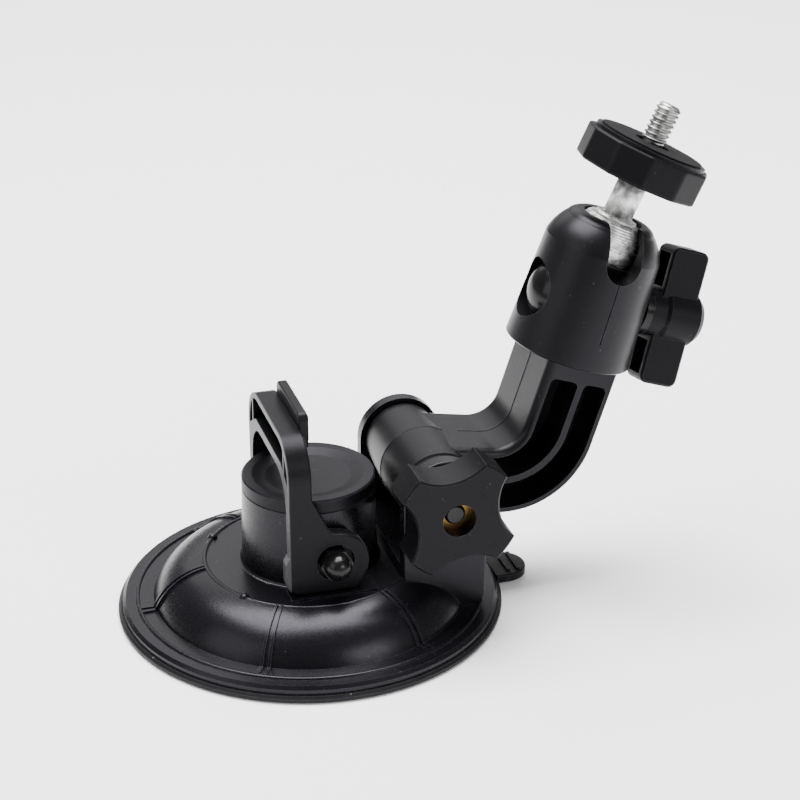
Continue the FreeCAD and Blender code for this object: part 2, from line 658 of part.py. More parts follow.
def arm_line(low, high):
    """Foot points and directions of the arm's two straight stretches at the given offsets.

    The first stretch starts beside the pivot and the second ends beside the socket's foot. An offset
    is to the left of the arm's path, which is its inner side.
    """
    droop = math.radians(val(D["arm_droop"]))
    lean = math.radians(90.0 - val(D["socket_tilt"]))
    d1 = (math.cos(droop), -math.sin(droop))
    d2 = (math.cos(lean), math.sin(lean))
    p1 = (PIVOT[0] - d1[1] * low, PIVOT[1] + d1[0] * low)
    p2 = (val(D["socket_along"]) - d2[1] * high, val(D["socket_high"]) + d2[0] * high)
    return p1, d1, p2, d2


def bent_edge(line, near, far):
    """Line, arc and line, from near past the pivot to far past the socket's foot, and the bend radius."""
    low, high = (val(offset) for offset in line)
    p1, d1, p2, d2 = arm_line(low, high)
    det = d1[0] * d2[1] - d1[1] * d2[0]
    run = ((p2[0] - p1[0]) * d2[1] - (p2[1] - p1[1]) * d2[0]) / det
    corner = (p1[0] + d1[0] * run, p1[1] + d1[1] * run)
    radius = val(D["arm_bend"]) + BEND_GROWTH * (val(D["arm_inner_high"]) - high)
    tangent = radius * math.tan(math.acos(d1[0] * d2[0] + d1[1] * d2[1]) / 2.0)
    return [(p1[0] + d1[0] * near, p1[1] + d1[1] * near),
            (corner[0] - d1[0] * tangent, corner[1] - d1[1] * tangent),
            (corner[0] + d2[0] * tangent, corner[1] + d2[1] * tangent),
            (p2[0] + d2[0] * far, p2[1] + d2[1] * far)], radius


def bent_band(sketch, left, right, near, far):
    """Closed band between two of the arm's lines."""
    (a0, a1, a2, a3), left_radius = bent_edge(left, near, far)
    (b0, b1, b2, b3), right_radius = bent_edge(right, near, far)
    outline(sketch, [b0, b1 + (right_radius,), b2, b3, a3, a2 + (-left_radius,), a1, a0])


def follows(edge, line, near, far):
    """True for an edge at the arm's side whose two ends lie on one of the arm's lines."""
    points, _ = bent_edge(line, near, far)
    on_line = all(any(math.hypot(end.X - x, end.Z - z) < 0.01 for x, z in points) for end in edge.Vertexes)
    return on_line and at_side(edge, D["arm_half_width"])


def make_arm():
    inner = (D["arm_inner_low"], D["arm_inner_high"])
    outer = (-D["arm_outer_low"], -D["arm_outer_high"])
    start, stop = 2.0, 1.0
    beam = new_body("arm_beam")
    sketch = sketch_on(beam, "XZ_Plane", "BeamOutline")
    bent_band(sketch, inner, outer, start, stop)
    bar = pad(beam, sketch, D["arm_half_width"] * 2, "Beam", midplane=True)
    rounded = soften(beam, bar, lambda e: follows(e, inner, start, stop), 2.0)
    soften(beam, rounded, lambda e: follows(e, outer, start, stop), 0.5)
    # two pockets in each side, with a rib between them
    rib_low, rib_high, rib_half = D["arm_rib_low"], D["arm_rib_high"], D["arm_rib_half"]
    inner_wall, outer_wall = D["arm_inner_wall"], D["arm_outer_wall"]
    bands = [((inner[0] - inner_wall, inner[1] - inner_wall), (rib_low + rib_half, rib_high + rib_half)),
             ((rib_low - rib_half, rib_high - rib_half), (outer[0] + outer_wall, outer[1] + outer_wall))]
    pocket_start, pocket_stop = 12.0, -4.4
    pockets = []
    for side in (-1, 1):
        for number, (left, right) in enumerate(bands):
            body = new_body("arm_pocket_%d" % number)
            sketch = sketch_on(body, "XZ_Plane", "PocketOutline", -side * D["arm_half_width"])
            bent_band(sketch, left, right, pocket_start, pocket_stop)
            hollow = pad(body, sketch, (D["arm_half_width"] - D["arm_web"] * 0.5) * 2, "Hollow", midplane=True)
            soften(body, hollow, lambda e: is_crosswise(e) and above_foot(e) > pocket_stop - 0.1, 1.4)
            pockets.append(body)
    ribbed = cut(beam, fuse(pockets, "arm_pockets"), "arm_ribbed")
    # the beam stops at the socket's foot, and only the tongue goes on into the socket
    past_foot = doc.addObject("Part::Box", "past_foot")
    past_foot.Length, past_foot.Width, past_foot.Height = 60, 60, 30
    past_foot.Placement = SOCKET.multiply(FreeCAD.Placement(V(-30, -30, -0.02), FreeCAD.Rotation()))
    tongue = doc.addObject("Part::Box", "arm_tongue")
    tongue.Length, tongue.Width, tongue.Height = 16.8, 14.0, 20.2
    tongue.Placement = SOCKET.multiply(FreeCAD.Placement(V(-8.4, -7.0, -3.0), FreeCAD.Rotation()))
    # mould line along the inner side
    seam = new_body("arm_seam")
    raised = D["seam_height"]
    sketch = sketch_on(seam, "XZ_Plane", "SeamOutline")
    bent_band(sketch, (inner[0] + raised, inner[1] + raised), (inner[0] - 0.5, inner[1] - 0.5), 8.0, -0.1)
    pad(seam, sketch, 0.3, "Seam", midplane=True)
    barrel = new_body("arm_barrel")
    back, front, edge = D["barrel_back_end"], D["barrel_front_end"], 0.5
    revolve(barrel, [
        (0, -back), (D["barrel_back"] - edge, -back), (D["barrel_back"], -back + edge),
        (D["barrel_mid"], -0.2), (D["barrel_mid"] + raised, -0.1), (D["barrel_mid"] + raised, 0.1),
        (D["barrel_mid"], 0.2), (D["barrel_front"], front - edge), (D["barrel_front"] - edge, front),
        (0, front)],
        name="Barrel")
    barrel.Placement = across(PIVOT[0], 0, PIVOT[1])
    pivot_hole = cylinder(D["bolt_radius"] + D["running"], 60, V(PIVOT[0], 30, PIVOT[1]), V(0, -1, 0),
                          "barrel_hole")
    clamp_hole = cylinder(D["bolt_radius"] + D["running"], 40, name="tongue_hole")
    clamp_hole.Placement = CLAMP.multiply(FreeCAD.Placement(V(0, 0, -20), FreeCAD.Rotation()))
    solid = fuse([cut(ribbed, past_foot, "arm_trimmed"), barrel, tongue, seam], "arm_solid")
    node(cut(solid, fuse([pivot_hole, clamp_hole], "arm_holes"), "arm"), "arm")


def make_friction_washers():
    gap = 0.03
    ends = (("front_friction_washer", 9.2, val(D["barrel_front_end"]) + gap, val(D["ear_inner"]) - gap),
            ("rear_friction_washer", 8.6, -val(D["ear_inner"]) + gap, -val(D["barrel_back_end"]) - gap))
    for label, radius, start, end in ends:
        ring = cylinder(radius, end - start, name=label + "_disc")
        hole = cylinder(D["bolt_radius"] + D["running"], 10, V(0, 0, -2), name=label + "_hole")
        node(cut(ring, hole, label), label, across(PIVOT[0], -start, PIVOT[1]))


def make_pivot_bolt():
    body = new_body("pivot_bolt")
    head, head_thick, key_deep = 4.6, 3.2, 1.8
    under_head = -D["ear_outer"] - 1.3
    bolt = revolve(body, [
        (0, under_head - head_thick), (head - 0.9, under_head - head_thick),
        (head, under_head - head_thick + 0.9), (head, under_head), (D["bolt_radius"], under_head),
        (D["bolt_radius"], D["knob_front"] - 3.6), (D["bolt_radius"] - 0.5, D["knob_front"] - 3.1),
        (0, D["knob_front"] - 3.1)], name="Bolt")
    socket = sketch_on(body, "XY_Plane", "KeySocket", under_head - head_thick)
    outline(socket, polygon(6, 2.0 / math.cos(math.pi / 6.0)))
    key = pad(body, socket, key_deep, "Key", feature="PartDesign::Pocket", reverse=True)
    doc.recompute()
    if key.Shape.Volume >= bolt.Shape.Volume:
        raise RuntimeError("the key socket cuts nothing")
    node(body, "pivot_bolt", across(PIVOT[0], 0, PIVOT[1]))
    ring = cylinder(5.4, 1.25, name="bolt_washer_disc")
    hole = cylinder(D["bolt_radius"] + 0.1, 10, V(0, 0, -2), name="bolt_washer_hole")
    node(cut(ring, hole, "pivot_washer"), "pivot_washer",
         across(PIVOT[0], val(D["ear_outer"]) + 1.28, PIVOT[1]))


# ---------------------------------------------------------------- star knob


def make_star_knob():
    body = new_body("star_knob_blank")
    sketch = sketch_on(body, "XY_Plane", "KnobOutline")
    reach = val(D["knob_reach"])
    half_lobe = math.radians(13.0)
    first = math.radians(52.5)
    corners = []
    for lobe in range(4):
        middle = first + lobe * math.pi / 2.0
        low, high = middle - half_lobe, middle + half_lobe
        corners.append((reach * math.cos(low), reach * math.sin(low), reach * 1.6))
        corners.append((reach * math.cos(high), reach * math.sin(high), -D["scallop_radius"]))
    outline(sketch, corners)
    thick = D["knob_front"] - D["knob_back"]
    star = pad(body, sketch, thick, "Star")
    soften(body, star, lambda e: abs(e.CenterOfMass.z - val(thick)) < 0.01 or abs(e.CenterOfMass.z) < 0.01,
           0.45, "PartDesign::Chamfer")
    # round hub that bears on the fork, and the bore with its insert
    hub = cylinder(7.0, 1.0, V(0, 0, -0.42), name="knob_hub")
    bore = cylinder(D["knob_bore"], 20, V(0, 0, -5), name="knob_bore")
    node(cut(fuse([body, hub], "knob_solid"), bore, "star_knob"), "star_knob",
         across(PIVOT[0], -val(D["knob_back"]), PIVOT[1]))
    sleeve = cylinder(D["knob_bore"], 6.5, name="insert_sleeve")
    thread = cylinder(D["bolt_radius"] + D["running"], 20, V(0, 0, -5), name="insert_thread")
    node(cut(sleeve, thread, "star_knob_insert"), "star_knob_insert",
         across(PIVOT[0], -val(D["knob_back"]) + 0.3, PIVOT[1]))


# ---------------------------------------------------------------- ball socket


def make_socket_housing():
    body = new_body("socket_turned")
    shoulder, top = D["socket_shoulder"], D["socket_top"]
    revolve(body, [
        (0, 0), (D["socket_foot"] - 0.4, 0), (D["socket_foot"], 0.4), (shoulder, D["shoulder_up"], 14.0),
        (shoulder - 3.4, top - 1.6, 3.2), (shoulder - 5.9, top), (0, top)], name="Housing")
    ball_up = val(D["ball_up"])
    clamp_up = val(D["clamp_up"])
    tongue_slot = block((-8.75, 8.75), (-7.3, 7.3), (-1, 19.5), "tongue_slot")
    grip = doc.addObject("Part::Sphere", "ball_grip")
    bind(grip, "Radius", D["ball_radius"] + 0.08)
    seat_room = doc.addObject("Part::Sphere", "seat_room")
    bind(seat_room, "Radius", D["seat_outer"] + 0.1)
    seat_room.Angle2 = 15.0
    for hollow in (grip, seat_room):
        hollow.Placement.Base = V(0, 0, ball_up)
    mouth = cylinder(D["mouth_radius"], 12, V(0, 0, ball_up + 3), name="mouth")
    # slot for the stud, open towards -Y, and the thin slit under it
    half = D["slot_width"] * 0.5
    slot_round = D["slot_floor"] + half
    stud_slot = block((-half, half), (-20, 0), (slot_round, 40), "stud_slot")
    slot_end = cylinder(half, 20, V(0, 0, val(slot_round)), V(0, -1, 0), "stud_slot_floor")
    slit_half = 0.15
    slit = block((-slit_half, slit_half), (-20, -5), (7, D["slot_floor"] + 2), "clamp_slit")
    # clamp bolt: its hole, the recess for its head and the flat under the wing knob's washer
    clamp_hole = cylinder(D["bolt_radius"] + 0.15, 40, V(-20, 0, clamp_up), V(1, 0, 0), "clamp_hole")
    recess = cylinder(D["clamp_recess"], 10, V(-val(D["clamp_floor"]), 0, clamp_up), V(-1, 0, 0),
                      "clamp_recess")
    washer_flat = cylinder(D["wing_neck"] + 1.6, 10, V(val(D["wing_gap"]) - 1.9, 0, clamp_up), V(1, 0, 0),
                           "washer_flat")
    tools = fuse([tongue_slot, grip, seat_room, mouth, stud_slot, slot_end, slit, clamp_hole, recess,
                  washer_flat], "socket_tools")
    node(cut(body, tools, "socket_housing"), "socket_housing", SOCKET)


def make_ball_seat():
    outer = doc.addObject("Part::Sphere", "seat_outer")
    bind(outer, "Radius", D["seat_outer"])
    outer.Angle2 = -22.0
    inner = doc.addObject("Part::Sphere", "seat_inner")
    bind(inner, "Radius", D["ball_radius"] + D["running"])
    node(cut(outer, inner, "ball_seat"), "ball_seat", STUD)


def make_clamp_bolt():
    body = new_body("clamp_bolt")
    head = 6.3
    floor = -D["clamp_floor"] - 0.02
    tip = D["wing_gap"] + 10.0
    revolve(body, [
        (0, floor - 3.3, 9.0), (head, floor - 0.9), (head, floor), (D["bolt_radius"], floor),
        (D["bolt_radius"], tip), (0, tip)], name="Bolt")
    node(body, "clamp_bolt", CLAMP)


# ---------------------------------------------------------------- wing knob


def make_wing_blade(side):
    """One blade: a slab along the knob's width with rounded corners at its free end."""
    blade = new_body("wing_blade")
    start, end = D["wing_start"], D["wing_start"] + D["wing_deep"]
    span = D["wing_span"] * 0.5
    curve = 2.0
    sketch = sketch_on(blade, "XZ_Plane", "BladeOutline")
    outline(sketch, [(0, start), (side * (span - curve), start, side * curve), (side * span, start + curve),
                     (side * span, end - curve, side * curve), (side * (span - curve), end), (0, end)])
    slab = pad(blade, sketch, D["blade_thick"], "Blade", midplane=True)
    soften(blade, slab, lambda e: at_side(e, D["blade_thick"] * 0.5) and e.CenterOfMass.x * side > 8.0, 0.5,
           "PartDesign::Chamfer")
    return blade


def make_wing_knob():
    body = new_body("wing_boss")
    gap, end, boss, neck = D["wing_gap"], D["wing_end"], D["wing_boss"], D["wing_neck"]
    revolve(body, [
        (0, gap), (neck, gap), (neck + 0.1, D["wing_start"] + 1.6), (boss, D["wing_start"] + 2.6),
        (boss, end - 1.6), (boss - 1.4, end), (0, end)], name="Boss")
    blades = [make_wing_blade(side) for side in (-1, 1)]
    hollows = []
    for side in (-1, 1):
        along = side_span(side, D["wing_span"] * 0.5 - 10.4, D["wing_span"] * 0.5 - 1.9)
        hollows.append(block(along, (-2.7, 2.7), (D["wing_start"] - 1, D["wing_start"] + D["wing_deep"] - 2),
                             "wing_hollow"))
    insert_start, insert_long, insert_radius = val(gap) + 1.2, 9.0, 4.0
    room = cylinder(insert_radius, insert_long, V(0, 0, insert_start), name="wing_insert_room")
    entry = cylinder(D["bolt_radius"] + D["running"], 3, V(0, 0, val(gap) - 1), name="wing_entry")
    turned = FreeCAD.Placement(V(0, 0, 0), FreeCAD.Rotation(V(0, 0, 1), 180.0 + val(D["wing_turn"])))
    solid = fuse([body] + blades, "wing_solid")
    node(cut(solid, fuse(hollows + [room, entry], "wing_tools"), "wing_knob"), "wing_knob",
         CLAMP.multiply(turned))
    sleeve = cylinder(insert_radius, insert_long, V(0, 0, insert_start), name="wing_sleeve")
    thread = cylinder(D["bolt_radius"] + D["running"], 30, name="wing_thread")
    node(cut(sleeve, thread, "wing_knob_insert"), "wing_knob_insert", CLAMP)
    ring = cylinder(6.0, 1.8, V(0, 0, val(gap) - 1.86), name="wing_washer_disc")
    hole = cylinder(D["bolt_radius"] + 0.1, 30, name="wing_washer_hole")
    node(cut(ring, hole, "wing_washer"), "wing_washer", CLAMP)


# ---------------------------------------------------------------- camera stud


def make_ball():
    body = new_body("ball_turned")
    radius, flat, step = val(D["ball_radius"]), val(D["ball_flat"]), val(D["ball_step"])
    rim = math.sqrt(radius * radius - flat * flat)
    revolve(body, [(0, -radius, radius), (rim, flat), (5.4, flat), (5.1, flat + step), (0, flat + step)],
            name="Ball")
    spindle_floor = -4.0
    bore = cylinder(D["spindle_radius"] + D["running"], 20, V(0, 0, spindle_floor - 0.05), name="ball_bore")
    node(cut(body, bore, "ball"), "ball", STUD)


def make_stud():
    """Spindle in the ball, cast shank, root of the thread inside the wheel, and the free screw end."""
    body = new_body("camera_stud")
    spindle, shank, root, screw = D["spindle_radius"], D["shank_radius"], D["root_radius"], D["stud_radius"]
    rise = D["ball_flat"] + D["ball_step"] + D["running"]
    floor, free = D["wheel_floor"], D["screw_start"]
    tip = D["stud_end"]
    revolve(body, [
        (0, -4), (spindle, -4), (spindle, rise), (shank, rise), (shank, floor - 0.4), (root, floor + 0.2),
        (root, free), (screw, free), (screw, tip - 0.7), (screw - 0.7, tip), (0, tip)], name="Stud")
    node(body, "camera_stud", STUD)


def make_lock_wheel():
    floor, thick, ring_rise = D["wheel_floor"], D["wheel_thick"], D["wheel_ring"]
    body = new_body("wheel_blank")
    sketch = sketch_on(body, "XY_Plane", "WheelOutline", floor)
    outline(sketch, polygon(int(val(D["wheel_sides"])), val(D["wheel_radius"]), 0.59))
    sided = pad(body, sketch, thick, "Drum")
    drum = soften(body, sided, lambda e: e.BoundBox.ZLength > 1.0, 2.4)
    ends = (val(floor), val(floor + thick))
    soften(body, drum, lambda e: any(abs(e.CenterOfMass.z - end) < 0.01 for end in ends), 0.7)
    ring = cylinder(D["ring_radius"], ring_rise + 2, V(0, 0, val(floor + thick) - 2), name="wheel_ring")
    pad_seat = val(floor + thick + ring_rise) - 0.5
    insert_radius = 5.0
    tools = [cylinder(D["pad_radius"] + 0.05, 3, V(0, 0, pad_seat), name="pad_recess"),
             cylinder(insert_radius, 30, name="wheel_bore")]
    node(cut(fuse([body, ring], "wheel_solid"), fuse(tools, "wheel_tools"), "lock_wheel"), "lock_wheel", STUD)
    sleeve = cylinder(insert_radius, thick, V(0, 0, val(floor)), name="wheel_sleeve")
    thread = cylinder(D["root_radius"] + D["running"], 30, V(0, 0, 10), name="wheel_thread")
    relief = doc.addObject("Part::Cone", "wheel_relief")
    bind(relief, "Radius1", D["shank_radius"] + D["free"])
    bind(relief, "Radius2", D["root_radius"])
    relief.Height = 1.2
    relief.Placement.Base = V(0, 0, val(floor) - 0.01)
    node(cut(sleeve, fuse([thread, relief], "wheel_insert_tools"), "wheel_insert"), "wheel_insert", STUD)
    disc = cylinder(D["pad_radius"], D["pad_thick"], V(0, 0, pad_seat + 0.02), name="pad_disc")
    hole = cylinder(4.4, 30, V(0, 0, 15), name="pad_hole")
    node(cut(disc, hole, "rubber_pad"), "rubber_pad", STUD)


# ---------------------------------------------------------------- build and export

for make in (make_suction_cup, make_base_cover, make_tower_cap, make_lift_post, make_return_spring,
             make_lever_pin, make_lever_washers, make_acorn_nuts, make_lever, make_arm,
             make_friction_washers, make_pivot_bolt, make_star_knob, make_socket_housing, make_ball_seat,
             make_clamp_bolt, make_wing_knob, make_ball, make_stud, make_lock_wheel):
    make()

doc.recompute()
failed = [item.Label for item in doc.Objects if "Invalid" in item.State or "Error" in item.State]
if failed:
    raise RuntimeError("these did not recompute: " + ", ".join(failed))
for item in NODES:
    shape = item.Shape
    if shape.isNull() or not shape.isValid() or not shape.Solids:
        raise RuntimeError("%s has no valid solid" % item.Label)
    shape.exportStep(os.path.join("parts", item.Label + ".step"))
    box = shape.BoundBox
    print("%-22s solids %d volume %9.1f  x %.1f %.1f  y %.1f %.1f  z %.1f %.1f" % (
        item.Label, len(shape.Solids), shape.Volume, box.XMin, box.XMax, box.YMin, box.YMax, box.ZMin,
        box.ZMax))
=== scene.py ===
import json
import math

import bmesh
import bpy
from mathutils import Matrix, Vector


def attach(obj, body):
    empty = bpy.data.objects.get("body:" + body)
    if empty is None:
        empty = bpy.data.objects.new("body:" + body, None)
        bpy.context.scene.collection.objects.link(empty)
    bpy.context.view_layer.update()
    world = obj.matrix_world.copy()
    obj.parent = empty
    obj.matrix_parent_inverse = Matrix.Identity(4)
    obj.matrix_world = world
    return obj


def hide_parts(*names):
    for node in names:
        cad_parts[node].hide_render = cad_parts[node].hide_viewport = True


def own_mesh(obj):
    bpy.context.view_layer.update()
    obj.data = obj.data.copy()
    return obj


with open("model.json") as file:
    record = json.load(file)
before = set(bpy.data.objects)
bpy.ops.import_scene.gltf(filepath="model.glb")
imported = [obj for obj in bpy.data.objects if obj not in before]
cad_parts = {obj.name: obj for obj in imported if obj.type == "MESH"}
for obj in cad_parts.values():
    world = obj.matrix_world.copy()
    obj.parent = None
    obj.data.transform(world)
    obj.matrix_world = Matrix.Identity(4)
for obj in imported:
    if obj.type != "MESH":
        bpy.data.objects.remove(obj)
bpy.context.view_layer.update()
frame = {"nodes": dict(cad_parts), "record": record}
MM = 0.001

# ---------------------------------------------------------------- camera, floor and light

AZIMUTH = math.radians(-16.85)
ELEVATION = math.radians(24.75)
CAMERA_AT = Vector((-0.1043, -0.4211, 0.2544))
SENSOR_WIDTH = 36.0
LENS = 90.2

FLOOR_SIZE = 6.0
FLOOR_COLOUR = (0.97, 0.97, 0.97, 1.0)
FLOOR_ROUGHNESS = 0.9
WORLD_STRENGTH = 0.35


def add_camera():
    back = Vector((math.sin(AZIMUTH) * math.cos(ELEVATION), -math.cos(AZIMUTH) * math.cos(ELEVATION),
                   math.sin(ELEVATION)))
    right = Vector((math.cos(AZIMUTH), math.sin(AZIMUTH), 0.0))
    up = back.cross(right)
    data = bpy.data.cameras.new("camera")
    data.sensor_width = SENSOR_WIDTH
    data.lens = LENS
    camera = bpy.data.objects.new("camera", data)
    turn = Matrix((right, up, back)).transposed().to_4x4()
    camera.matrix_world = Matrix.Translation(CAMERA_AT) @ turn
    bpy.context.collection.objects.link(camera)
    bpy.context.scene.camera = camera


def add_floor():
    bpy.ops.mesh.primitive_plane_add(size=FLOOR_SIZE, location=(0.0, 0.0, 0.0))
    floor = bpy.context.object
    floor.name = "floor"
    material = bpy.data.materials.new("floor")
    material.use_nodes = True
    shader = material.node_tree.nodes["Principled BSDF"]
    shader.inputs["Base Color"].default_value = FLOOR_COLOUR
    shader.inputs["Roughness"].default_value = FLOOR_ROUGHNESS
    floor.data.materials.append(material)


def add_world():
    world = bpy.data.worlds.new("studio")
    bpy.context.scene.world = world
    world.use_nodes = True
    background = world.node_tree.nodes["Background"]
    background.inputs["Color"].default_value = (1.0, 1.0, 1.0, 1.0)
    background.inputs["Strength"].default_value = WORLD_STRENGTH


def add_area(name, place, target, size, power):
    data = bpy.data.lights.new(name, "AREA")
    data.shape = "RECTANGLE"
    data.size, data.size_y = size
    data.energy = power
    light = bpy.data.objects.new(name, data)
    light.location = place
    light.rotation_euler = (Vector(target) - Vector(place)).to_track_quat("-Z", "Y").to_euler()
    bpy.context.collection.objects.link(light)


add_camera()
add_floor()
add_world()
add_area("top_box", place=(0.0, 0.25, 1.1), target=(0.02, 0.0, 0.03), size=(1.1, 0.8), power=52.0)
add_area("left_box", place=(-0.9, -0.25, 0.55), target=(0.02, 0.0, 0.05), size=(0.7, 0.7), power=3.5)
add_area("back_box", place=(0.25, 1.35, 0.85), target=(0.03, 0.0, 0.04), size=(1.6, 0.8), power=7.0)
add_area("front_box", place=(0.55, -1.0, 0.6), target=(0.03, 0.0, 0.05), size=(0.6, 0.5), power=7.0)

# ---------------------------------------------------------------- building blocks of the materials

# the range that a noise texture's values mostly keep to
NOISE_LOW = 0.3
NOISE_HIGH = 0.7

# painted highlight along sharp edges: the strip's width in metres, the dot product of the rounded and the
# true normal where the highlight is full and where it ends, and the noise that breaks the strip up
EDGE_WIDTH = 0.00022
EDGE_SHARP = 0.8
EDGE_FLAT = 0.99
EDGE_BREAK_SCALE = 420.0
EDGE_BREAK_RANGE = (0.35, 0.65)
EDGE_LEAST = 0.25


class Nodes:
    """Short names for building a node material."""

    def __init__(self, name):
        self.material = bpy.data.materials.new(name)
        self.material.use_nodes = True
        self.tree = self.material.node_tree
        self.shader = self.tree.nodes["Principled BSDF"]
        self.place = self.add("ShaderNodeTexCoord").outputs["Object"]

    def add(self, kind, **settings):
        item = self.tree.nodes.new(kind)
        for key, value in settings.items():
            setattr(item, key, value)
        return item

    def link(self, start, end):
        self.tree.links.new(start, end)

    def noise(self, scale, detail, rough=0.5):
        texture = self.add("ShaderNodeTexNoise")
        texture.inputs["Scale"].default_value = scale
        texture.inputs["Detail"].default_value = detail
        texture.inputs["Roughness"].default_value = rough
        self.link(self.place, texture.inputs["Vector"])
        return texture.outputs["Fac"]

    def ramp(self, value, low, high, out_low=0.0, out_high=1.0):
        item = self.add("ShaderNodeMapRange")
        limits = {"From Min": low, "From Max": high, "To Min": out_low, "To Max": out_high}
        for key, number in limits.items():
            item.inputs[key].default_value = number
        self.link(value, item.inputs["Value"])
        return item.outputs["Result"]

    def spread(self, noise, out_low=0.0, out_high=1.0):
        """Noise with its usual range stretched over out_low to out_high."""
        return self.ramp(noise, NOISE_LOW, NOISE_HIGH, out_low, out_high)

    def math(self, kind, first, second):
        item = self.add("ShaderNodeMath", operation=kind)
        self.link(first, item.inputs[0])
        self.link(second, item.inputs[1])
        return item.outputs[0]

    def mix(self, factor, first, second):
        """Mix of two colours, each a tuple or a socket."""
        item = self.add("ShaderNodeMix", data_type="RGBA")
        self.link(factor, item.inputs["Factor"])
        for key, value in (("A", first), ("B", second)):
            socket = [s for s in item.inputs if s.name == key and s.type == "RGBA"][0]
            if isinstance(value, tuple):
                socket.default_value = value + (1.0,)
            else:
                self.link(value, socket)
        return [s for s in item.outputs if s.type == "RGBA"][0]

    def edge_highlight_mask(self, most):
        """Mask of a painted highlight: a narrow strip along the sharp edges, broken up by noise."""
        rounded = self.add("ShaderNodeBevel", samples=4)
        rounded.inputs["Radius"].default_value = EDGE_WIDTH
        facing = self.add("ShaderNodeVectorMath", operation="DOT_PRODUCT")
        self.link(rounded.outputs["Normal"], facing.inputs[0])
        self.link(self.add("ShaderNodeNewGeometry").outputs["Normal"], facing.inputs[1])
        sharp = self.ramp(facing.outputs["Value"], EDGE_SHARP, EDGE_FLAT, 1.0, 0.0)
        broken = self.ramp(self.noise(EDGE_BREAK_SCALE, 3.0), *EDGE_BREAK_RANGE, EDGE_LEAST, most)
        return self.math("MULTIPLY", sharp, broken)

    def bump(self, height, strength, distance):
        item = self.add("ShaderNodeBump")
        item.inputs["Strength"].default_value = strength
        item.inputs["Distance"].default_value = distance
        self.link(height, item.inputs["Height"])
        self.link(item.outputs["Normal"], self.shader.inputs["Normal"])

    def set(self, key, value):
        """Put a number or a socket on one of the shader's inputs."""
        socket = self.shader.inputs[key]
        if isinstance(value, (int, float)):
            socket.default_value = value
        else:
            self.link(value, socket)


def shade(colour, factor):
    return tuple(channel * factor for channel in colour)


# ---------------------------------------------------------------- moulded plastic and rubber

COOL_SHEEN = (0.92, 0.89, 1.0, 1.0)
SHEEN_SCALE = 38.0
SHEEN_DARK = 0.88
SHEEN_LIGHT = 1.15
SHEEN_SMOOTHER = 0.015
SHEEN_ROUGHER = 0.02
GRAIN_ROUGHNESS = 0.03

# painted highlight along the sharp edges: how strongly it shows, and how many times lighter than the colour
EDGE_HIGHLIGHT_PLASTIC = 0.8
EDGE_HIGHLIGHT_LIGHTER = 26.0

DUST_SCALE = 850.0
DUST_FROM = 0.755
DUST_FULL = 0.79
DUST_COLOUR = (0.8, 0.8, 0.8)

# painted highlight on a back face: its colour, how strongly it is mixed in, and the width in metres of its
# fade
PAINTED_LIGHT_COLOUR = (0.06, 0.06, 0.062)
PAINTED_LIGHT_COVER = 0.75
PAINTED_LIGHT_FADE = 0.0001


def moulded(name, colour, rough, specular, grain=2600.0, depth=0.00005, strength=0.3, dust=0.03,
            painted_light_behind=None):
    """Black moulding: patches of sheen, a fine surface grain, a painted highlight along the edges and a few
    specks of dust.

    grain is the scale of the surface grain, and depth, in metres, and strength are its bump.
    painted_light_behind is an x in metres: behind it the surface is painted paler, a painted highlight on a
    face that catches the light.
    """
    n = Nodes(name)
    patches = n.noise(SHEEN_SCALE, 3.0)
    grain_field = n.noise(grain, 2.0, 0.6)
    base = n.mix(n.spread(patches), shade(colour, SHEEN_DARK), shade(colour, SHEEN_LIGHT))
    # painted highlight along the sharp edges
    base = n.mix(n.edge_highlight_mask(EDGE_HIGHLIGHT_PLASTIC), base, shade(colour, EDGE_HIGHLIGHT_LIGHTER))
    # painted highlight: the surface behind the given x is painted paler, as if lit
    if painted_light_behind is not None:
        place = n.add("ShaderNodeSeparateXYZ")
        n.link(n.place, place.inputs["Vector"])
        behind = n.ramp(place.outputs["X"], painted_light_behind, painted_light_behind + PAINTED_LIGHT_FADE, PAINTED_LIGHT_COVER, 0.0)
        base = n.mix(behind, base, PAINTED_LIGHT_COLOUR)
    specks = n.ramp(n.noise(DUST_SCALE, 1.0), DUST_FROM, DUST_FULL, 0.0, dust)
    n.set("Base Color", n.mix(specks, base, DUST_COLOUR))
    n.set("Roughness", n.math("ADD", n.spread(patches, rough - SHEEN_SMOOTHER, rough + SHEEN_ROUGHER),
                              n.spread(grain_field, -GRAIN_ROUGHNESS, GRAIN_ROUGHNESS)))
    n.set("Specular IOR Level", specular)
    n.shader.inputs["Specular Tint"].default_value = COOL_SHEEN
    n.bump(grain_field, strength, depth)
    return n.material


BLACK = (0.0027, 0.0025, 0.0034)
SOFT_BLACK = (0.003, 0.003, 0.0034)
LEVER_BACK = -0.00965

